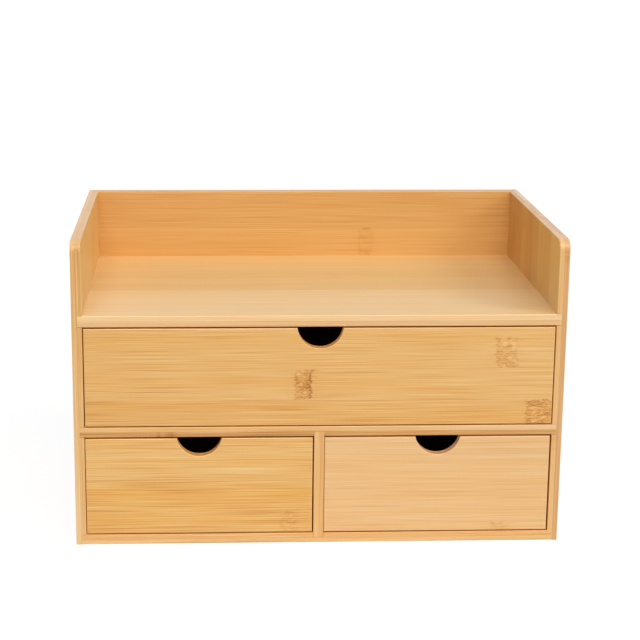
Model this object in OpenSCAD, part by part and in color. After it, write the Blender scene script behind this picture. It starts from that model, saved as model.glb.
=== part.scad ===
// Desktop mini drawers in laminated bamboo: a housed case with an open tray on top,
// one full-width drawer and two half-width drawers below it, all set flush in the case.
// Millimetres. X runs to the right, Y to the back and Z up. The origin lies under the
// middle of the case, on the surface that the case stands on.

/* [Case] */
// Overall width of the case
case_w = 420; // [340:5:520]
// Overall depth of the case
case_d = 255; // [200:5:320]
// Thickness of each side panel
side_t = 9; // [8:0.5:12]
// Thickness of the bottom board
bottom_t = 9; // [8:0.5:12]
// Thickness of the board between the top drawer and the lower drawers
middle_t = 9; // [8:0.5:12]
// Thickness of the shelf board, the floor of the tray
shelf_t = 10; // [8:0.5:14]
// Thickness of the divider between the lower drawers
divider_t = 9; // [8:0.5:12]
// Clear height of the two lower bays
low_bay_h = 88; // [60:1:120]
// Clear height of the top bay
top_bay_h = 88; // [60:1:120]
// Depth of the housings that the ends of the boards sit in
housing = 4; // [2.5:0.5:4]

/* [Tray] */
// Height of the tray's walls above the shelf board
tray_h = 64; // [30:1:110]
// Thickness of the tray's back board
tray_back_t = 10; // [8:0.5:14]
// Radius of the upper front corner of each side panel
corner_r = 10; // [4:1:25]

/* [Back panel] */
// Thickness of the panel behind the drawers
panel_t = 3; // [2.5:0.5:5]
// Distance from the back of the case to the panel
panel_inset = 6; // [5:0.5:12]
// Depth of the groove that the panel's edges sit in
panel_groove = 4; // [2.5:0.5:4]

/* [Drawers] */
// Gap at each end of a drawer front
side_gap = 0.7; // [0.7:0.1:2]
// Gap above a drawer front
top_gap = 1.1; // [0.6:0.1:2]
// Gap below a drawer front
bottom_gap = 0.8; // [0.6:0.1:2]
// Running gap between a drawer's lower edges and the board it slides on
glide_gap = 0.3; // [0.2:0.1:0.5]
// Gap between the closed drawer's sides and the back panel that stops them
stop_gap = 0.3; // [0.2:0.1:1]
// How far the left drawer stands to the left of the middle of its bay
left_play = 0.3; // [0:0.1:0.4]
// How far the right drawer stands to the left of the middle of its bay
right_play = 0.5; // [0:0.1:0.5]
// Thickness of a drawer front
front_t = 9; // [8:0.5:12]
// Thickness of a drawer's sides
box_side_t = 7; // [6:0.5:9]
// Thickness of a drawer's back
box_back_t = 7; // [6:0.5:9]
// How far a drawer's sides and back are lower than its front at the top
box_drop = 7; // [4:1:20]
// Thickness of wood that a front keeps over the ends of the sides
lap_t = 4.5; // [3:0.5:5]
// How far the sides run on past a drawer's back
side_runout = 8; // [5:1:15]
// Depth of the housings in the sides that hold a drawer's back
back_housing = 3; // [2:0.5:3]
// Thickness of a drawer's bottom panel
box_panel_t = 3; // [2.5:0.5:4]
// Height of the bottom panel above the lower edges of the sides
box_panel_up = 5; // [4:0.5:8]
// Depth of the groove that the bottom panel sits in
box_groove = 3.5; // [2:0.1:4.2]

/* [Finger notches] */
// Radius of the round cutter that makes the notches
notch_r = 19.6; // [18.4:0.2:24]
// Depth of the notch in the top drawer's front
top_notch_depth = 18; // [10:0.1:18]
// Depth of the notches in the lower drawers' fronts
low_notch_depth = 16.1; // [10:0.1:18]

/* [Edges and fits] */
// Radius that eases the open edges of the boards
ease_r = 1; // [0.5:0.1:2]
// Radius that eases the rims of the finger notches
notch_ease_r = 0.8; // [0.4:0.1:1.5]
// Room for a panel on each face in its groove
panel_play = 0.1; // [0:0.05:0.3]
// Room for a panel to swell at the bottom of its groove
panel_swell = 0.5; // [0.3:0.1:1]

/* [Hidden] */
$fn = 64;
over = 1;                                      // how far a cutter reaches past a face

// Levels of the boards, from the ground up
middle_z = bottom_t + low_bay_h;
top_bay_z = middle_z + middle_t;
shelf_z = top_bay_z + top_bay_h;
tray_z = shelf_z + shelf_t;
case_h = tray_z + tray_h;

// Faces of the case
half_w = case_w / 2;
half_inner = half_w - side_t;
front_y = -case_d / 2;
rear_y = case_d / 2;
panel_back_y = rear_y - panel_inset;
panel_front_y = panel_back_y - panel_t;
housed_w = 2 * (half_inner + housing);         // length of a board with both housed ends

// Each drawer and its bay: middle of the bay, width, floor level, height, how far the
// drawer stands to the left, and depth of the notch in its front
low_bay_w = half_inner - divider_t / 2;
low_bay_x = divider_t / 2 + low_bay_w / 2;
top_bay = [0, 2 * half_inner, top_bay_z, top_bay_h, 0, top_notch_depth];
left_bay = [-low_bay_x, low_bay_w, bottom_t, low_bay_h, left_play, low_notch_depth];
right_bay = [low_bay_x, low_bay_w, bottom_t, low_bay_h, right_play, low_notch_depth];
function drawer_x(bay) = bay[0] - bay[4];
function drawer_w(bay) = bay[1] - 2 * side_gap;
function notch_depth(bay) = bay[5];
function front_z(bay) = bay[2] + bottom_gap;
function front_top(bay) = bay[2] + bay[3] - top_gap;
function front_h(bay) = front_top(bay) - front_z(bay);
function box_z(bay) = bay[2] + glide_gap;
function box_h(bay) = front_top(bay) - box_drop - box_z(bay);
function box_inner_w(bay) = drawer_w(bay) - 2 * box_side_t;

// Depths inside a drawer
box_front_y = front_y + lap_t;
box_rear_y = panel_front_y - stop_gap;
box_l = box_rear_y - box_front_y;
back_rear_y = box_rear_y - side_runout;
back_front_y = back_rear_y - box_back_t;
panel_reach = box_groove - panel_swell;        // how far a bottom panel enters its grooves
slot_h = box_panel_t + 2 * panel_play;         // height of the groove for a bottom panel

bamboo = [0.89, 0.68, 0.41];
bamboo_edge = [0.92, 0.74, 0.49];
bamboo_front = [0.90, 0.67, 0.38];
plywood = [0.80, 0.61, 0.38];

// What easing a square corner takes away: the corner outside a quarter circle
module corner_waste(r) {
    difference() {
        translate([-over, -over])
            square(r + over);
        translate([r, r])
            circle(r);
    }
}

// Rectangle from the origin. The list names the corners that are eased:
// 0 lower left, 1 lower right, 2 upper right, 3 upper left
module eased_rect(w, h, corners) {
    places = [[0, 0], [w, 0], [w, h], [0, h]];
    difference() {
        square([w, h]);
        for (corner = corners)
            translate(places[corner])
                rotate(90 * corner)
                    corner_waste(ease_r);
    }
}

// Extrudes a section drawn in Y and Z along X, centred on X = 0
module along_x(length) {
    translate([-length / 2, 0, 0])
        rotate([90, 0, 90])
            linear_extrude(length)
                children();
}

// Extrudes a section drawn in X and Z along Y, from Y = start
module along_y(start, length) {
    translate([0, start + length, 0])
        rotate([90, 0, 0])
            linear_extrude(length)
                children();
}

// Cutting block between two corners
module cut(low, high) {
    translate(low)
        cube(high - low);
}

// Outline of a side panel, with its rounded upper front corner
module side_outline() {
    difference() {
        translate([front_y, 0])
            square([case_d, case_h]);
        difference() {
            translate([front_y - over, case_h - corner_r])
                square(corner_r + over);
            translate([front_y + corner_r, case_h - corner_r])
                circle(corner_r);
        }
    }
}

// What eases both faces of a side panel round its rounded corner
module rounded_corner_waste() {
    translate([half_w, front_y + corner_r, case_h - corner_r])
        rotate([0, -90, 0])
            rotate(-90)
                rotate_extrude(angle = 90)
                    for (face = [0, 1])
                        translate([corner_r, face * side_t])
                            mirror([0, face])
                                rotate(90)
                                    corner_waste(ease_r);
}

// Right-hand side panel. The left-hand one is its mirror image
module side_panel() {
    inner = half_inner;
    difference() {
        intersection() {
            along_x(case_w)
                side_outline();
            translate([inner, front_y, 0])
                linear_extrude(case_h)
                    eased_rect(side_t, case_d, [0, 1, 2, 3]);
            along_y(front_y, case_d)
                translate([inner, 0])
                    eased_rect(side_t, case_h, [1, 2, 3]);
        }
        rounded_corner_waste();
        // Housings for the shelf board, the middle board and the bottom board
        cut([inner - over, front_y - over, shelf_z], [inner + housing, rear_y + over, tray_z]);
        cut([inner - over, front_y - over, middle_z], [inner + housing, panel_front_y, top_bay_z]);
        cut([inner - over, front_y - over, -over], [inner + housing, rear_y + over, bottom_t]);
        // Rebate for the tray's back board
        cut([inner - over, rear_y - tray_back_t, tray_z - over],
            [inner + housing, rear_y + over, case_h + over]);
        // Groove for the back panel
        cut([inner - over, panel_front_y - panel_play, bottom_t - over],
            [inner + panel_groove, panel_back_y + panel_play, shelf_z + over]);
    }
}

module left_side_panel() {
    color(bamboo)
        mirror([1, 0, 0])
            side_panel();
}

module right_side_panel() {
    color(bamboo)
        side_panel();
}

// Section of a groove for the back panel, cut from the level of a board's face
module panel_slot(face, way) {
    depth = panel_groove + over;
    translate([panel_front_y - panel_play, way > 0 ? face - over : face - panel_groove])
        square([panel_t + 2 * panel_play, depth]);
}

// Housing for one edge of the divider, cut into a board from the level of its face
module divider_housing(face, way) {
    cut([-divider_t / 2, front_y - over, way > 0 ? face - over : face - housing],
        [divider_t / 2, panel_front_y, way > 0 ? face + housing : face + over]);
}

module bottom_board() {
    color(bamboo_edge)
        difference() {
            along_x(housed_w)
                difference() {
                    translate([front_y, 0])
                        eased_rect(case_d, bottom_t, [0, 1, 2, 3]);
                    panel_slot(bottom_t, -1);
                }
            divider_housing(bottom_t, -1);
        }
}

module middle_board() {
    color(bamboo_edge)
        difference() {
            translate([0, 0, middle_z])
                along_x(housed_w)
                    translate([front_y, 0])
                        eased_rect(panel_front_y - front_y, middle_t, [0, 3]);
            divider_housing(middle_z, 1);
        }
}

module shelf_board() {
    color(bamboo_edge)
        along_x(housed_w)
            difference() {
                translate([front_y, shelf_z])
                    eased_rect(case_d, shelf_t, [0, 1, 3]);
                panel_slot(shelf_z, 1);
            }
}

module centre_divider() {
    color(bamboo_edge)
        translate([-divider_t / 2, front_y, bottom_t - housing])
            linear_extrude(low_bay_h + 2 * housing)
                eased_rect(divider_t, panel_front_y - front_y, [0, 1]);
}

module tray_back_board() {
    color(bamboo)
        along_x(housed_w)
            translate([rear_y - tray_back_t, tray_z])
                eased_rect(tray_back_t, tray_h, [2, 3]);
}

// Thin panel that closes the drawer bays behind, loose in its four grooves
module case_back_panel() {
    reach = panel_groove - panel_swell;
    color(plywood)
        cut([-half_inner - reach, panel_front_y, bottom_t - reach],
            [half_inner + reach, panel_back_y, shelf_z + reach]);
}

// Half-round finger notch with an eased rim on both faces, cut through a drawer front
module finger_notch(bay) {
    translate([drawer_x(bay), front_y, front_top(bay) + notch_r - notch_depth(bay)])
        rotate([-90, 0, 0]) {
            translate([0, 0, -over])
                cylinder(h = front_t + 2 * over, r = notch_r);
            rotate_extrude()
                for (face = [0, 1])
                    translate([notch_r, face * front_t])
                        mirror([0, face])
                            corner_waste(notch_ease_r);
        }
}

// Drawer front: rebated at both ends for the sides, grooved behind for the bottom panel
module drawer_front(bay) {
    w = drawer_w(bay);
    h = front_h(bay);
    slot_z = box_z(bay) + box_panel_up;
    color(bamboo_front)
        difference() {
            translate([drawer_x(bay), 0, 0])
                difference() {
                    intersection() {
                        along_x(w)
                            translate([front_y, front_z(bay)])
                                eased_rect(front_t, h, [0, 2, 3]);
                        translate([-w / 2, front_y, front_z(bay)])
                            linear_extrude(h)
                                eased_rect(w, front_t, [0, 1]);
                    }
                    for (hand = [0, 1])
                        mirror([hand, 0, 0])
                            cut([w / 2 - box_side_t, box_front_y, front_z(bay) - over],
                                [w / 2 + over, front_y + front_t + over, box_z(bay) + box_h(bay)]);
                    cut([-w / 2, front_y + front_t - box_groove, slot_z],
                        [w / 2, front_y + front_t + over, slot_z + slot_h]);
                }
            finger_notch(bay);
        }
}

// Drawer side, on the right with hand = 0 and on the left with hand = 1
module drawer_side(bay, hand) {
    outer = drawer_w(bay) / 2;
    inner = outer - box_side_t;
    low = box_z(bay);
    slot_z = low + box_panel_up;
    color(bamboo)
        translate([drawer_x(bay), 0, 0])
            mirror([hand, 0, 0])
                difference() {
                    along_y(box_front_y, box_l)
                        translate([inner, low])
                            eased_rect(box_side_t, box_h(bay), [0, 1, 2, 3]);
                    cut([inner - over, box_front_y - over, slot_z],
                        [inner + box_groove, box_rear_y + over, slot_z + slot_h]);
                    cut([inner - over, back_front_y, low - over],
                        [inner + back_housing, back_rear_y, low + box_h(bay) + over]);
                }
}

// Drawer back, housed in both sides and grooved in front for the bottom panel
module drawer_back(bay) {
    color(bamboo)
        translate([drawer_x(bay), 0, box_z(bay)])
            along_x(box_inner_w(bay) + 2 * back_housing)
                difference() {
                    translate([back_front_y, 0])
                        eased_rect(box_back_t, box_h(bay), [2, 3]);
                    translate([back_front_y - over, box_panel_up])
                        square([box_groove + over, slot_h]);
                }
}

// Bottom panel of a drawer, loose in the grooves of the front, sides and back
module drawer_bottom(bay) {
    half = box_inner_w(bay) / 2 + panel_reach;
    low = box_z(bay) + box_panel_up + panel_play;
    color(plywood)
        translate([drawer_x(bay), 0, 0])
            cut([-half, front_y + front_t - panel_reach, low],
                [half, back_front_y + panel_reach, low + box_panel_t]);
}

left_side_panel();
right_side_panel();
bottom_board();
middle_board();
shelf_board();
centre_divider();
tray_back_board();
case_back_panel();
drawer_front(top_bay);  // top_drawer_front
drawer_side(top_bay, 1);  // top_drawer_left_side
drawer_side(top_bay, 0);  // top_drawer_right_side
drawer_back(top_bay);  // top_drawer_back
drawer_bottom(top_bay);  // top_drawer_bottom
drawer_front(left_bay);  // left_drawer_front
drawer_side(left_bay, 1);  // left_drawer_left_side
drawer_side(left_bay, 0);  // left_drawer_right_side
drawer_back(left_bay);  // left_drawer_back
drawer_bottom(left_bay);  // left_drawer_bottom
drawer_front(right_bay);  // right_drawer_front
drawer_side(right_bay, 1);  // right_drawer_left_side
drawer_side(right_bay, 0);  // right_drawer_right_side
drawer_back(right_bay);  // right_drawer_back
drawer_bottom(right_bay);  // right_drawer_bottom
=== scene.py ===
import math
import random

import bpy
from mathutils import Matrix, Vector


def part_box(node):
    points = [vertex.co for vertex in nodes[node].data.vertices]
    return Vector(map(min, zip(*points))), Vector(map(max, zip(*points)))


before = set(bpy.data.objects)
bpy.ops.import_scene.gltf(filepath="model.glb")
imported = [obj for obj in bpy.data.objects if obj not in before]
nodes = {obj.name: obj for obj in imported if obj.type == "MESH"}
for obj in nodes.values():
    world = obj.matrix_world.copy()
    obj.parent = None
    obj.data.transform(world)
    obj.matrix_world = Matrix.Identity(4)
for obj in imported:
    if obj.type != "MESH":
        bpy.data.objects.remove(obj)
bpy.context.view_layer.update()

mm = 0.001        # in metres, the unit of the scene
white = (1, 1, 1, 1)


def srgb(red, green, blue):
    # a colour as it is read off a screen, 0 to 255, as the shader's linear numbers, by the
    # curve that every screen uses
    def linear(value):
        value /= 255
        return value / 12.92 if value <= 0.04045 else ((value + 0.055) / 1.055) ** 2.4
    return (linear(red), linear(green), linear(blue), 1.0)


class Wire:
    # one output of a shader node; sums and products on it add the Math nodes they need

    def __init__(self, tree, socket=None):
        self.tree = tree
        self.socket = socket

    def node(self, kind, settings=None, sockets=None, out=0):
        # settings come first, with a ramp's colours as stops and how it steps between them as
        # steps, and then the values or links of the sockets
        made = self.tree.nodes.new(kind)
        for key, value in (settings or {}).items():
            if key == "stops":
                ramp = made.color_ramp.elements
                ramp.remove(ramp[1])
                ramp[0].position, ramp[0].color = value[0]
                for place, colour in value[1:]:
                    ramp.new(place).color = colour
            elif key == "steps":
                made.color_ramp.interpolation = value
            else:
                setattr(made, key, value)
        for key, value in (sockets or {}).items():
            if isinstance(value, Wire):
                self.tree.links.new(value.socket, made.inputs[key])
            else:
                made.inputs[key].default_value = value
        return Wire(self.tree, made.outputs[out])

    def also(self, out):
        # another output of the same node
        return Wire(self.tree, self.socket.node.outputs[out])

    def math(self, operation, *others):
        return self.node("ShaderNodeMath", {"operation": operation},
                         dict(enumerate((self,) + others)))

    def __add__(self, other):
        return self.math("ADD", other)

    __radd__ = __add__

    def __sub__(self, other):
        return self.math("SUBTRACT", other)

    def __rsub__(self, other):
        return self.node("ShaderNodeMath", {"operation": "SUBTRACT"}, {0: other, 1: self})

    def __mul__(self, other):
        return self.math("MULTIPLY", other)

    __rmul__ = __mul__

    def __truediv__(self, other):
        return self.math("DIVIDE", other)

    def __abs__(self):
        return self.math("ABSOLUTE")

    def atLeast(self, other):
        return self.math("MAXIMUM", other)

    def atMost(self, other):
        return self.math("MINIMUM", other)

    def bell(self, width):
        # 1 where the value is nothing, falling away on both sides
        part = self / width
        return (part * part * -1).math("EXPONENT")

    def rise(self, low, high):
        # 0 below low, 1 above high, or the other way round when low is the larger
        if low > high:
            return 1 - self.rise(high, low)
        return self.node("ShaderNodeMapRange", {"interpolation_type": "SMOOTHSTEP"},
                         {0: self, 1: low, 2: high, 3: 0.0, 4: 1.0})

    def noise(self, along, across, through, detail=0.0, roughness=0.5):
        # noise about nothing, from -0.5 to 0.5
        place = self.node("ShaderNodeCombineXYZ", sockets={0: along, 1: across, 2: through})
        return self.node("ShaderNodeTexNoise", {"noise_dimensions": "3D"},
                         {"Vector": place, "Scale": 1.0, "Detail": detail,
                          "Roughness": roughness}) - 0.5


# Camera, where the photograph was taken from
cameraSetup = {
    "place": (-0.09623, -1.50901, 0.54622),
    "turn": 2.558,          # degrees to the right of straight on
    "tilt": 14.052,         # degrees down
    "lean": 0.369,          # degrees
    "lens": 95.09,
    "sensor": 36,
    "shift": 0.0625,
    "clip": (0.01, 100),
}


def makeCamera(setup):
    turn, tilt, lean = (math.radians(setup[key]) for key in ("turn", "tilt", "lean"))
    ahead = Vector((math.sin(turn) * math.cos(tilt), math.cos(turn) * math.cos(tilt),
                    -math.sin(tilt)))
    level = Vector((math.cos(turn), -math.sin(turn), 0))
    upright = level.cross(ahead)
    right = math.cos(lean) * level + math.sin(lean) * upright
    up = math.cos(lean) * upright - math.sin(lean) * level
    data = bpy.data.cameras.new("camera")
    data.lens = setup["lens"]
    data.sensor_width = setup["sensor"]
    data.shift_x = setup["shift"]
    data.clip_start, data.clip_end = setup["clip"]
    camera = bpy.data.objects.new("camera", data)
    camera.matrix_world = Matrix.Translation(setup["place"]) @ Matrix(
        (right, up, -ahead)).transposed().to_4x4()
    bpy.context.scene.collection.objects.link(camera)
    bpy.context.scene.camera = camera


makeCamera(cameraSetup)
print("camera placed")

# Lamps, floor and world
studio = {
    # each lamp: the direction that its light comes from, its strength and spread in degrees
    "lamps": {
        "frontLight": ((0.03, -0.61, 0.79), 1.74, 45),
        "keyLight": ((0.68, -0.46, 0.56), 1.15, 24),
        "leftFill": ((-0.74, -0.64, 0.20), 0.55, 50),
    },
    "ambient": 0.20,
    "floorSide": 60.0,
    "floorDrop": 0.0002,
    "floorTone": (0.80, 0.80, 0.80, 1),
    "floorOwnWhite": 0.75,               # how much of the floor's look is its own white
    "floorWhite": 1.16,
}


def makeLamp(name, comesFrom, strength, spread):
    data = bpy.data.lights.new(name, "SUN")
    data.energy = strength
    data.angle = math.radians(spread)
    lamp = bpy.data.objects.new(name, data)
    lamp.rotation_mode = "QUATERNION"
    lamp.rotation_quaternion = Vector(comesFrom).to_track_quat("Z", "Y")
    bpy.context.scene.collection.objects.link(lamp)


def seenDirectly(wire):
    # 1 for rays from the camera, and for those that a glossy or clear surface passes on
    path = wire.node("ShaderNodeLightPath", out="Is Camera Ray")
    return path.atLeast(path.also("Is Glossy Ray")).atLeast(path.also("Is Transmission Ray"))


def finishTree(surface, kind):
    tree = surface.tree
    tree.links.new(surface.socket, tree.nodes.new(kind).inputs[0])


def makeStudio(setup):
    for name, (comesFrom, strength, spread) in setup["lamps"].items():
        makeLamp(name, comesFrom, strength, spread)

    world = bpy.data.worlds.new("studioWorld")
    bpy.context.scene.world = world
    world.use_nodes = True
    world.node_tree.nodes.clear()
    wire = Wire(world.node_tree)
    dim = wire.node("ShaderNodeBackground", sockets={0: white, 1: setup["ambient"]})
    bright = wire.node("ShaderNodeBackground", sockets={0: white, 1: 1.0})
    sky = wire.node("ShaderNodeMixShader", sockets={0: seenDirectly(wire), 1: dim, 2: bright})
    finishTree(sky, "ShaderNodeOutputWorld")

    half, drop = setup["floorSide"] / 2, setup["floorDrop"]
    mesh = bpy.data.meshes.new("studioFloor")
    mesh.from_pydata([(-half, -half, -drop), (half, -half, -drop), (half, half, -drop),
                      (-half, half, -drop)], [], [(0, 1, 2, 3)])
    floor = bpy.data.objects.new("studioFloor", mesh)
    bpy.context.scene.collection.objects.link(floor)
    paper = bpy.data.materials.new("studioPaper")
    paper.use_nodes = True
    paper.node_tree.nodes.clear()
    wire = Wire(paper.node_tree)
    lit = wire.node("ShaderNodeBsdfDiffuse", sockets={0: setup["floorTone"]})
    own = wire.node("ShaderNodeEmission", sockets={0: white, 1: setup["floorWhite"]})
    mixed = wire.node("ShaderNodeMixShader", sockets={
        0: seenDirectly(wire) * setup["floorOwnWhite"], 1: lit, 2: own})
    finishTree(mixed, "ShaderNodeOutputMaterial")
    mesh.materials.append(paper)
    bpy.context.scene.view_settings.view_transform = "Standard"


makeStudio(studio)
print("studio lit")

# Laminated bamboo. Every board is strips glued side by side in plies, and the pattern runs
# through the solid wood, so that faces, edges and ends of a board belong together.
bambooTones = {
    # from the palest fibre to the darkest, with 0.5 the usual tone of the wood
    "front": [(0.0, srgb(249, 217, 162)), (0.3, srgb(238, 196, 130)), (0.5, srgb(228, 180, 109)),
              (0.7, srgb(210, 154, 84)), (0.85, srgb(186, 126, 60)), (1.0, srgb(146, 90, 38))],
    "case": [(0.0, srgb(249, 218, 168)), (0.3, srgb(239, 200, 141)), (0.5, srgb(228, 184, 119)),
             (0.7, srgb(210, 157, 92)), (0.85, srgb(186, 128, 65)), (1.0, srgb(146, 92, 41))],
    "box": [(0.0, srgb(248, 216, 166)), (0.3, srgb(238, 198, 142)), (0.5, srgb(228, 183, 123)),
            (0.7, srgb(209, 157, 96)), (0.85, srgb(184, 128, 70)), (1.0, srgb(142, 92, 46))],
    "panel": [(0.0, srgb(244, 213, 168)), (0.3, srgb(233, 196, 145)), (0.5, srgb(222, 181, 128)),
              (0.7, srgb(202, 156, 102)), (0.85, srgb(178, 128, 76)), (1.0, srgb(140, 94, 52))],
}

# The usual grain, in steps of tone. A board's own grain changes what it names.
grain = {
    "bandDepth": 0.05,        # slow tone changes within a strip
    "lineDepth": 0.09,        # long thin lines, one fibre bundle each
    "dashDepth": 0.11,        # short dashes between them
    "paleDepth": 0.10,        # paler bundles
    "fibreDepth": 0.70,       # single fibres
    "seamDepth": 0.07,        # glue lines between strips
    "gluePly": 0.10,          # glue line between plies
    "nodeDepth": 1.0,
    "edgeLift": 0.08,         # a painted highlight: how much paler the eased edges are
    "endSheen": 0.08,          # a painted sheen: how much paler the cut ends are
    "endCalm": 0.7,           # how much less the streaks show there
    "rawDepth": 0.03,         # how much darker the unlacquered faces inside are
    "tint": 0.50,             # how far the wood turns from yellowish to pinkish
    "fineTint": 0.3,          # how much of that is also there from bundle to bundle
    "rich": 1.0,              # how much more golden the darker parts of a strip are
}
# Quieter grain, for the floor and back board of the tray and the right side panel
calmGrain = {"bandDepth": 0.10, "lineDepth": 0.08, "dashDepth": 0.10, "fibreDepth": 0.40,
             "paleDepth": 0.08, "tint": 0.34, "rich": 0.0}

# How the strips lie in a board, in mm where it says nothing else
layUp = {
    "strip": 28,              # a strip's width, where the board doesn't say
    "mostRows": 30,           # strips that differ, since a colour ramp holds only 32 stops
    "spareRows": 3,           # for the next ply's strips past the edge
    "skin": 0.01,             # keeps the broad faces within the outer plies
    "sway": (210, 60, 0.8),   # how long, how wide and how far the grain wanders
    "seamSway": 0.3,          # how much of that the seams follow
    "plyShift": 0.46,         # how far the next ply's seams are moved, in widths of a strip
    "plyRows": 5,             # how many rows further its strips look in the tables
    "seamLine": (0.45, 0.10), # how far from a seam its glue line fades out, and is full
    "plyLine": (0.10, 0.02),  # the same between plies, in thicknesses of a ply
    "plyClear": (0.3, 0.5),   # no glue line this close to a broad face, in the same measure
    "spread": 0.16,           # how much the strips differ in tone, where the board doesn't say
}

# How long and how wide the streaks are in mm, and the detail and roughness of their noise
streakSizes = {
    "band": (400, 6, 1.0, 0.5),
    "line": (450, 0.66, 1.0, 0.6),
    "dash": (150, 0.50, 1.0, 0.6),
    "fibre": (80, 0.50, 1.0, 0.5),
    "tint": (300, 16, 0.0, 0.5),
    "fineTint": (150, 1.6, 0.0, 0.5),
}
# From where in its noise a streak shows, and from where it shows in full
streakShows = {"line": (0.12, 0.21), "dash": (0.08, 0.24), "pale": (0.08, 0.26)}

# Odd factors that give each ply and each strip a stretch of its own in a noise
apart = {"ply": 7.3, "cell": 11, "streaks": 173, "ragged": 9.1, "wavy": 5.3, "swirl": 3.7}

# The nodes of the bamboo, in mm and in steps of tone
anyNode = {
    # for strips whose node the board doesn't set: where along the strip, how strong, which
    # side is the heavier, half its width, and how much of its edges, filling and lenses shows
    "at": (0.04, 0.96), "strengths": (0, 0, 0.25, 0.4, 0.55), "heavy": (0.2, 0.9),
    "half": (6, 9), "edge": (0.1, 0.6), "fill": (0.3, 0.8), "lens": (0.3, 0.8),
}
nodeLook = {
    "mostHalf": 20,           # the tables hold half its width as a share of this
    "bend": (9, 4),           # how long and wide the bends of the fibres round it are
    "bendReach": 16, "bendDepth": 2.0,
    "ragged": (1.8, 6.5),     # how wide the teeth of its edges are, and how long
    "wavy": (7, 4.0),         # the same for their slower waves
    "turnOver": (-2.0, 2.0),  # where one side becomes the other
    "lightSide": 0.25,        # what the lighter side has at least of the heavier one's weight
    "edgeFrom": 0.3,          # how full it is at its edges
    "softEdge": 4.5,          # how wide its edges are where they are light
    "sharper": 3.7,           # and how much less so where they are heavy
    "swirl": (8, 3, 2.6),     # how long its lenses are, how much less so with edges, how wide
    "outlines": ((0, 0.05), (0.18, 0.035)),    # where in that noise, and how wide
    "outlineDepth": 0.11,
    "outlineInFill": 0.12,    # how much darker the outlines are where the filling is
    "fillDepth": 0.08,        # the brown filling, with its blotches' length and width
    "blotch": (7, 6), "blotchDepth": 0.50,
    "darkLens": (0.03, 0.20), "darkLensDepth": 0.12,
    "paleLens": (0.05, 0.16), "paleLensDepth": 0.16,
    "rim": (0.6, 0.9),        # how far inside its edges their dark line is, and how wide
    "rimDepth": 0.30,
    "ends": (15, 0.9),        # how long and wide the fibre ends are
    "endsShow": (0.05, 0.22), "endsReach": (10.0, 0.0), "endsDepth": 0.34,
    "haze": 12,               # how far a faint darkening reaches
    "hazeDepth": 0.04,
    "seamRagged": 14,         # how unevenly a light node ends beside the seams
    "seamFade": (0.0, 1.4),
}

# How squarely a face points along an axis where it starts to count as one of these, and where
# it does so fully
facing = {
    "broad": (0.90, 0.99), "front": (0.5, 0.9), "cut": (0.6, 0.9),
    "eased": (0.985, 0.90), "easedBroad": (0.05, 0.2),
    "inGap": (0.9, 0.6), "onRim": (0.74, 0.50),
}

# The bays, whose faces have no lacquer, and the painted shade of the gaps, brown on the edges
# that face them and for the first few mm inside. Each pair is where something is gone and where
# it is there in full, in mm outwards from the walls of the bays or backwards from their front,
# and rimWidth from the edge of the board.
bays = {
    "front": -126.3, "side": 201.1, "low": 8.95, "high": 194.05,
    "frontFade": (-0.3, 0.3), "sideFade": (0.1, 0.0), "heightFade": (0.0, -0.05),
    "rimFront": (0.1, -0.2), "rimFade": (1.3, 1.2), "rimWidth": (1.2, 1.0),
    "gapShadeTo": -120.5, "gapShadeFade": 4, "gapShadeDepth": 0.8,
}

# What each of these adds to red, green and blue, as a share of them
toning = {
    "rich": (0.4, 0.3, -0.5),
    "streaks": (0.3, 0, -0.6),
    "mark": (0.15, 0, -0.45),
    "tint": (0, 0.25, 1),
    "pink": (0, 0, 1),
    # cut: the cut ends are turned bluer, a painted sheen
    "cut": (0, -0.03, 0.12),
    # brown is the painted shade in the gaps
    "brown": (-0.12, -0.42, -0.75),
}

# The satin lacquer, the bare wood inside, and how the grain is felt in both
lacquer = {
    "roughness": 0.34,
    "fibreRoughness": 0.14, "lineRoughness": 0.06, "edgePolish": 0.04,
    "gloss": 0.5,             # where the board doesn't say
    "bareRoughness": 0.8, "bareGloss": 0.05,
    "reliefStrength": 0.15,
    "reliefDepth": 0.0003,    # in metres
    "fibreRelief": 0.5, "lineRelief": 0.3, "nodeRelief": 0.8, "seamRelief": 0.5,
}


def stripTables(node, board, start, length, count):
    # A row for each strip in two tables: where its node is, how strong that is, the tone of
    # the strip and which side of the node is the heavier; then half the node's width, and how
    # much of its edges, its brown filling and its pale lenses shows
    chance = random.Random(node)
    rows, nodeRows = [], []
    for strip in range(count):
        mark = {"at": start + length * chance.uniform(*anyNode["at"]),
                "strength": chance.choice(anyNode["strengths"])}
        tone = chance.uniform(-1, 1)
        for key in ("heavy", "half", "edge", "fill", "lens"):
            mark[key] = chance.uniform(*anyNode[key])
        if "marks" in board:
            mark.update({"strength": 0, **board["marks"].get(strip, {})})
        tone = board.get("tones", {}).get(strip, tone)
        rows.append((strip / count, ((mark["at"] - start) / length, mark["strength"],
                                     0.5 + tone / 2, mark["heavy"])))
        nodeRows.append((strip / count, (mark["half"] / nodeLook["mostHalf"], mark["edge"],
                                         mark["fill"], mark["lens"])))
    return rows, nodeRows


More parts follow.
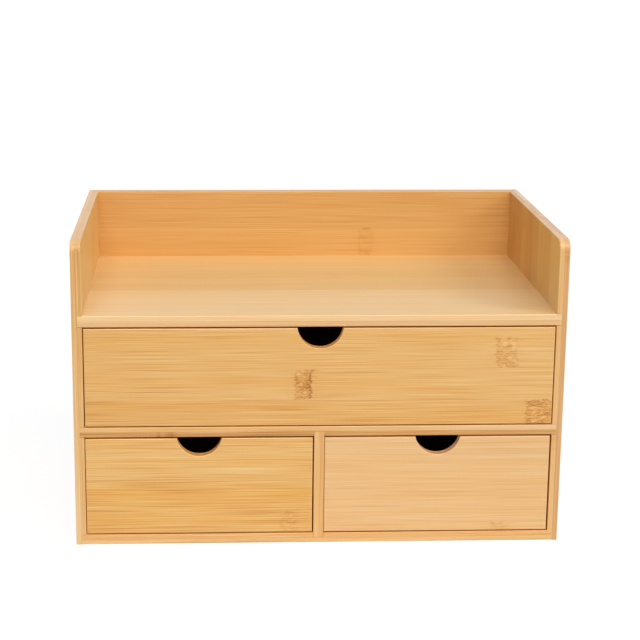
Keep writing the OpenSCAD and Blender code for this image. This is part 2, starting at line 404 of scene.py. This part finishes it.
def nodeTone(wire, offset, acrossBent, through, cell, toSeam, facts):
    # The node itself: pale lenses with brown outlines between two ragged edges, one heavier
    # and sharper than the other, with dark fibre ends that run out of them
    heavy, edge, fill = facts["heavy"], facts["edge"], facts["fill"]
    (raggedWide, raggedDepth), (wavyWide, wavyDepth) = nodeLook["ragged"], nodeLook["wavy"]
    ragged = wire.noise(cell * apart["ragged"], acrossBent / raggedWide, through / raggedWide,
                        1.0) * raggedDepth \
        + wire.noise(cell * apart["wavy"], acrossBent / wavyWide, through / wavyWide) * wavyDepth
    fromNode = offset + ragged
    beyond = abs(fromNode) - facts["half"]
    side = fromNode.rise(*nodeLook["turnOver"])
    weight = (side * heavy + (1 - side) * (1 - heavy)) * (1 - nodeLook["lightSide"])
    weight = (weight + nodeLook["lightSide"]) * edge
    softness = nodeLook["softEdge"] - weight * nodeLook["sharper"]
    inside = (nodeLook["edgeFrom"] - beyond / softness).atLeast(0).atMost(1)

    swirlLong, swirlTighter, swirlWide = nodeLook["swirl"]
    swirl = wire.noise(offset / (swirlLong - edge * swirlTighter), acrossBent / swirlWide,
                       cell * apart["swirl"], 1.0)
    first, second = ((swirl - place).bell(spread) for place, spread in nodeLook["outlines"])
    blotchLong, blotchWide = nodeLook["blotch"]
    blotch = wire.noise(offset / blotchLong, acrossBent / blotchWide, cell)
    filling = blotch * nodeLook["blotchDepth"] + nodeLook["fillDepth"] \
        + (swirl * -1).rise(*nodeLook["darkLens"]) * nodeLook["darkLensDepth"]
    outline = (first + second) * (nodeLook["outlineDepth"] + fill * nodeLook["outlineInFill"])
    lenses = swirl.rise(*nodeLook["paleLens"]) * facts["lens"] * nodeLook["paleLensDepth"]

    rimAt, rimWidth = nodeLook["rim"]
    rim = (beyond + rimAt).bell(rimWidth) * weight * nodeLook["rimDepth"]
    endLong, endWide = nodeLook["ends"]
    ends = wire.noise(offset / endLong, acrossBent / endWide, through / endWide, 1.0)
    ends = ends.rise(*nodeLook["endsShow"]) * beyond.rise(*nodeLook["endsReach"]) \
        * (1 - inside) * weight * nodeLook["endsDepth"]
    haze = offset.bell(nodeLook["haze"]) * nodeLook["hazeDepth"]
    mark = inside * (fill * filling + outline - lenses) + rim + ends + haze
    toEnd = toSeam + (1 - edge) * blotch * nodeLook["seamRagged"] - (1 - edge)
    return mark * facts["strength"] * toEnd.rise(*nodeLook["seamFade"])


def makeBamboo(node, board):
    # A board's settings: axes run along the grain, across the strips and through the plies, and
    # seam is a place where two strips meet. tone and pink are for the whole board, plyTones and
    # plyPinks for its first and second ply, faceTones and facePinks for their broad faces, and
    # frontTone and frontPink for what faces the front, where drift is the change of tone from
    # end to end. tones gives a strip its tone, from -1 for pale to 1 for dark, marks gives it
    # its node, and belts are golden stripes, with their place, width and depth.
    low, high = ([c / mm for c in corner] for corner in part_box(node))
    alongAxis, acrossAxis, throughAxis = ("xyz".index(letter) for letter in board["axes"])
    width = board.get("strip", layUp["strip"])
    seam = board.get("seam", low[acrossAxis])
    firstSeam = seam - math.ceil((seam - low[acrossAxis] - layUp["skin"]) / width) * width
    count = min(layUp["mostRows"],
                math.ceil((high[acrossAxis] - firstSeam) / width) + layUp["spareRows"])
    plies = board.get("plies", 2)
    length = high[alongAxis] - low[alongAxis]
    look = {**grain, **board.get("grain", {})}

    material = bpy.data.materials.new(node + "_bamboo")
    material.use_nodes = True
    material.node_tree.nodes.clear()
    wire = Wire(material.node_tree)
    coords = wire.node("ShaderNodeTexCoord", out="Object")
    split = wire.node("ShaderNodeSeparateXYZ", sockets={0: coords})
    xyz = [split.also(k) / mm for k in range(3)]
    along, across, through = xyz[alongAxis], xyz[acrossAxis], xyz[throughAxis]

    # Which ply and which strip a point is in
    thick = high[throughAxis] - low[throughAxis] + 2 * layUp["skin"]
    level = (through - low[throughAxis] + layUp["skin"]) * (plies / thick)
    ply = level.math("FLOOR")
    swayLong, swayWide, swayDepth = layUp["sway"]
    sway = wire.noise(along / swayLong, across / swayWide, ply * apart["ply"]) * swayDepth
    strip = (across + sway * layUp["seamSway"] + ply * (width * layUp["plyShift"])
             - firstSeam) / width
    index = strip.math("FLOOR")
    inStrip = (strip - index) * width
    toSeam = width / 2 - abs(inStrip - width / 2)
    cell = index + ply * apart["cell"]

    # What the tables say of that strip
    lookup = ((index + ply * layUp["plyRows"] + 0.5) / count).math("FRACT")
    row, nodeRow = (
        wire.node("ShaderNodeValToRGB", {"stops": table, "steps": "CONSTANT"}, {0: lookup})
        for table in stripTables(node, board, low[alongAxis], length, count))
    facts, nodeFacts = (wire.node("ShaderNodeSeparateColor", sockets={0: colours})
                        for colours in (row, nodeRow))
    stripTone = facts.also(2) - 0.5
    strength = facts.also(1)
    offset = along - (facts * length + low[alongAxis])

    # Fibres, bent a little round the node
    bendLong, bendWide = nodeLook["bend"]
    bend = wire.noise(offset / bendLong, across / bendWide, cell) * strength \
        * offset.bell(nodeLook["bendReach"]) * nodeLook["bendDepth"]
    acrossBent = across + sway + bend
    far = along + cell * apart["streaks"]

    def streaksOf(name):
        long, wide, detail, roughness = streakSizes[name]
        return wire.noise(far / long, acrossBent / wide, through / wide, detail, roughness)

    band, dashes, fibre = streaksOf("band"), streaksOf("dash"), streaksOf("fibre")
    dark = streaksOf("line").rise(*streakShows["line"])
    dash = dashes.rise(*streakShows["dash"])
    pale = (dashes * -1).rise(*streakShows["pale"])
    mark = nodeTone(wire, offset, acrossBent, through, cell, toSeam, {
        "strength": strength, "heavy": row.also(1), "half": nodeFacts * nodeLook["mostHalf"],
        "edge": nodeFacts.also(1), "fill": nodeFacts.also(2), "lens": nodeRow.also(1)})

    # Glue lines, and which way a face points
    seamLine = toSeam.rise(*layUp["seamLine"])
    clearFrom, clearTo = layUp["plyClear"]
    glue = abs(level - level.math("ROUND")).rise(*layUp["plyLine"]) \
        * level.rise(clearFrom, clearTo) * level.rise(plies - clearFrom, plies - clearTo)
    squarely = wire.node("ShaderNodeVectorMath", {"operation": "ABSOLUTE"},
                         {0: coords.also("Normal")})
    sides = wire.node("ShaderNodeSeparateXYZ", sockets={0: squarely})
    flat = sides.atLeast(sides.also(1)).atLeast(sides.also(2))
    eased = flat.rise(*facing["eased"]) * sides.also(throughAxis).rise(*facing["easedBroad"])
    cut = sides.also(alongAxis).rise(*facing["cut"])
    broad = sides.also(throughAxis).rise(*facing["broad"])
    front = sides.also(1).rise(*facing["front"])

    # Faces inside the bays are raw, and the edges round the gaps and the first few mm inside
    # them are turned brown, a painted shade
    def inBays(sideFade, heightFade):
        (sideGone, sideFull), (heightGone, heightFull) = bays[sideFade], bays[heightFade]
        return abs(xyz[0]).rise(bays["side"] + sideGone, bays["side"] + sideFull) \
            * xyz[2].rise(bays["low"] - heightGone, bays["low"] - heightFull) \
            * xyz[2].rise(bays["high"] + heightGone, bays["high"] + heightFull)

    def behindFront(fade):
        gone, full = bays[fade]
        return xyz[1].rise(bays["front"] + gone, bays["front"] + full)

    raw = behindFront("frontFade") * inBays("sideFade", "heightFade")
    toEdge = (xyz[0] - low[0]).atMost(high[0] - xyz[0]).atMost(
        xyz[2] - low[2]).atMost(high[2] - xyz[2])
    # painted shade: the rounded edges of a board that face a gap are turned brown
    rim = behindFront("rimFront") * inBays("rimFade", "rimFade") \
        * toEdge.rise(*bays["rimWidth"]) * sides.also(1).rise(*facing["onRim"])
    # painted shade: the first few mm inside a gap are turned brown, as the dim orange light in
    # there
    deepGapShade = raw * xyz[1].rise(bays["gapShadeTo"], bays["gapShadeTo"] - bays["gapShadeFade"]) \
        * sides.also(1).rise(*facing["inGap"]) * bays["gapShadeDepth"]
    brown = deepGapShade.atLeast(rim)

    def perPly(name):
        # what the board sets for its first and its second ply
        first, second = board.get(name, (0, 0))
        return ply * (second - first) + first

    # The tone, which picks the colour, and the shares of red, green and blue that change it
    fromMiddle = along - (low[alongAxis] + high[alongAxis]) / 2
    slow = stripTone * board.get("stripSpread", layUp["spread"]) + band * look["bandDepth"] \
        + front * fromMiddle * (board.get("drift", 0) / length)
    streaks = dark * look["lineDepth"] + dash * look["dashDepth"] - pale * look["paleDepth"] \
        + fibre * look["fibreDepth"]
    shade = 0.5 + board.get("tone", 0) + perPly("plyTones") + broad * perPly("faceTones")
    shade = shade + slow + front * board.get("frontTone", 0)
    shade = shade + streaks * (1 - cut * look["endCalm"]) + mark * look["nodeDepth"]
    shade = shade + seamLine * look["seamDepth"] + glue * look["gluePly"]
    # painted highlight on the eased edges and painted sheen on the cut ends, both as a paler
    # tone
    shade = shade + raw * look["rawDepth"] - cut * look["endSheen"] - eased * look["edgeLift"]
    colour = wire.node("ShaderNodeValToRGB", {"stops": bambooTones[board["finish"]]}, {0: shade})

    tint = (streaksOf("tint") + streaksOf("fineTint") * look["fineTint"]) * look["tint"]
    for place, spread, depth in board.get("belts", ()):
        tint = tint - (across + sway - place).bell(spread) * depth
    pink = perPly("plyPinks") + broad * perPly("facePinks") \
        + front * board.get("frontPink", 0) + board.get("pink", 0)
    parts = {"rich": slow * look["rich"], "streaks": streaks, "mark": mark, "tint": tint,
             "pink": pink, "cut": cut, "brown": brown}
    shares = [1, 1, 1]
    for part, amounts in toning.items():
        for k, amount in enumerate(amounts):
            if amount:
                shares[k] = parts[part] * amount + shares[k]
    toned = wire.node("ShaderNodeCombineXYZ", sockets=dict(enumerate(shares)))
    colour = wire.node("ShaderNodeVectorMath", {"operation": "MULTIPLY"}, {0: colour, 1: toned})

    relief = fibre * lacquer["fibreRelief"] - dark * lacquer["lineRelief"] \
        - mark * lacquer["nodeRelief"] - seamLine * lacquer["seamRelief"]
    bump = wire.node("ShaderNodeBump", sockets={
        "Strength": lacquer["reliefStrength"], "Distance": lacquer["reliefDepth"],
        "Height": relief})
    polish = lacquer["roughness"] + fibre * lacquer["fibreRoughness"] \
        + dark * lacquer["lineRoughness"] - eased * lacquer["edgePolish"]
    lacquered = wire.node("ShaderNodeBsdfPrincipled", sockets={
        "Base Color": colour, "Roughness": polish, "Normal": bump,
        "Specular IOR Level": board.get("gloss", lacquer["gloss"])})
    bare = wire.node("ShaderNodeBsdfPrincipled", sockets={
        "Base Color": colour, "Roughness": lacquer["bareRoughness"], "Normal": bump,
        "Specular IOR Level": lacquer["bareGloss"]})
    surface = wire.node("ShaderNodeMixShader", sockets={0: raw, 1: lacquered, 2: bare})
    finishTree(surface, "ShaderNodeOutputMaterial")
    for slot in nodes[node].material_slots:
        slot.material = material


# The case
caseBoards = {
    "left_side_panel": {
        "axes": "zyx", "finish": "case", "strip": 27.7, "seam": -88.6,
        # faceTones paints the inner broad face paler, a painted light
        "plyTones": (0.04, 0.11), "faceTones": (0, -0.12), "plyPinks": (0, -0.10),
        "frontTone": 0.005, "frontPink": 0.04, "drift": 0.22, "tones": {0: 0.0, 6: 0.0},
        "marks": {3: {"strength": 0.4}, 4: {"strength": 0.4}, 7: {"strength": 0.3},
                  8: {"strength": 0.5}}},
    "right_side_panel": {
        "axes": "zyx", "finish": "case", "strip": 27.7, "seam": -88.6, "stripSpread": 0.4,
        "plyTones": (0.18, 0.14), "faceTones": (-0.03, -0.07), "plyPinks": (0, 0.12),
        # facePinks paints the broad faces, the inner one most, a deeper orange: painted shade
        # and bounced light
        "facePinks": (-0.20, -0.12), "frontTone": 0.03, "frontPink": 0.04, "gloss": 0.7,
        "grain": calmGrain,
        "tones": {0: -0.8, 1: -0.7, 2: -0.2, 3: -0.3, 4: 0.2, 5: 0.4, 6: 0.1, 7: 0.5, 8: 0.5,
                  9: 0.4, 10: 0.0, 11: 0.3, 12: 0.1}},
    "bottom_board": {
        "axes": "xyz", "finish": "case", "seam": -100, "tone": 0.05, "frontPink": 0.04,
        "grain": {"edgeLift": 0.0}, "marks": {}},
    "middle_board": {
        "axes": "xyz", "finish": "case", "seam": -104, "plyTones": (0.21, 0.09),
        "drift": -0.10,
        "marks": {0: {"at": -130, "strength": 0.35, "half": 9, "edge": 0.3, "fill": 0.9,
                      "lens": 0.2}}},
    "shelf_board": {
        "axes": "xyz", "finish": "case", "strip": 25.9, "seam": -20.6, "stripSpread": 0.36,
        # plyTones makes the board paler and frontTone darkens its front edge back, so that the
        # tray's floor on top is paler: a painted sheen
        "plyTones": (-0.11, -0.12), "frontTone": 0.11, "frontPink": 0.12, "gloss": 0.85,
        "grain": {**calmGrain, "edgeLift": -0.04, "seamDepth": 0.2},
        "tones": {0: 0.2, 1: 0.3, 6: -0.5, 7: -0.4, 8: -0.6, 9: -0.5, 10: 0.4, 11: 0.2,
                  12: 0.4, 13: 0.2},
        "marks": {12: {"at": 20, "strength": 0.25}}},
    "centre_divider": {
        "axes": "zyx", "finish": "case", "seam": -102, "plyTones": (0.00, 0.08),
        "frontPink": 0.04, "marks": {}},
    "tray_back_board": {
        # tone darkens the whole board below the fronts, a painted shade
        "axes": "xzy", "finish": "front", "seam": 232, "tone": 0.10,
        "grain": {**calmGrain, "edgeLift": 0.0}, "tones": {0: 0.0, 1: 0.5, 2: 0.5},
        "marks": {0: {"at": 60, "strength": 0.3}}},
    "case_back_panel": {"axes": "xzy", "finish": "panel", "strip": 60, "plies": 3},
}
for node, board in caseBoards.items():
    makeBamboo(node, board)
print("case boards finished")

# The drawer fronts, with their nodes where the boards show them
drawerFronts = {
    "top_drawer_front": {
        "axes": "xzy", "finish": "front", "seam": 129.2, "stripSpread": 0.16, "tone": 0.06,
        "tones": {0: 0.75, 1: 0.1, 2: 0.0, 3: 0.0}, "drift": -0.06,
        "grain": {"lineDepth": 0.07, "dashDepth": 0.08, "paleDepth": 0.07, "fibreDepth": 0.78,
                  "edgeLift": 0.16},
        "marks": {0: {"at": 188.3, "strength": 1.0, "half": 10.5, "heavy": 0.3, "edge": 0.5,
                      "fill": 0.5, "lens": 1.0},
                  1: {"at": -14, "strength": 1.0, "half": 6.8, "heavy": 0.8, "edge": 0.85,
                      "fill": 0.75, "lens": 0.8},
                  2: {"at": 159.7, "strength": 0.95, "half": 8.8, "heavy": 0.25, "edge": 0.45,
                      "fill": 0.35, "lens": 1.0}}},
    "left_drawer_front": {
        "axes": "xzy", "finish": "front", "seam": 30.5, "stripSpread": 0.12, "tone": 0.065,
        "pink": -0.07, "tones": {0: 1.0, 1: 0.4, 2: -0.5, 3: 0.2}, "belts": [(46.5, 6, 0.28)],
        "grain": {"lineDepth": 0.20, "dashDepth": 0.16, "bandDepth": 0.26, "fibreDepth": 0.95,
                  "tint": 0.60, "edgeLift": 0.14},
        "marks": {0: {"at": -25.6, "strength": 0.6, "half": 7.5, "heavy": 0.4, "edge": 0.15,
                      "fill": 0.25, "lens": 0.8}}},
    "right_drawer_front": {
        "axes": "xzy", "finish": "case", "seam": 46, "stripSpread": 0.09, "tone": 0.04,
        "pink": 0.12, "tones": {0: -0.1, 1: -0.2, 2: -0.7, 3: -0.6},
        "grain": {"lineDepth": 0.08, "dashDepth": 0.10, "fibreDepth": 0.50, "paleDepth": 0.08,
                  "bandDepth": 0.20, "edgeLift": 0.14, "tint": 0.40},
        "marks": {0: {"at": 158.5, "strength": 0.65, "half": 7, "heavy": 0.6, "edge": 0.25,
                      "fill": 0.5, "lens": 0.6}}},
}
for node, board in drawerFronts.items():
    makeBamboo(node, board)
print("drawer fronts finished")

# The drawer boxes
boxBoards = {
    "left_side": {"axes": "yzx", "finish": "box", "strip": 24},
    "right_side": {"axes": "yzx", "finish": "box", "strip": 24},
    "back": {"axes": "xzy", "finish": "box", "strip": 24},
    "bottom": {"axes": "yxz", "finish": "panel", "strip": 60, "plies": 3},
}
for drawer in ("top", "left", "right"):
    for part, board in boxBoards.items():
        makeBamboo(f"{drawer}_drawer_{part}", board)
print("drawer boxes finished")
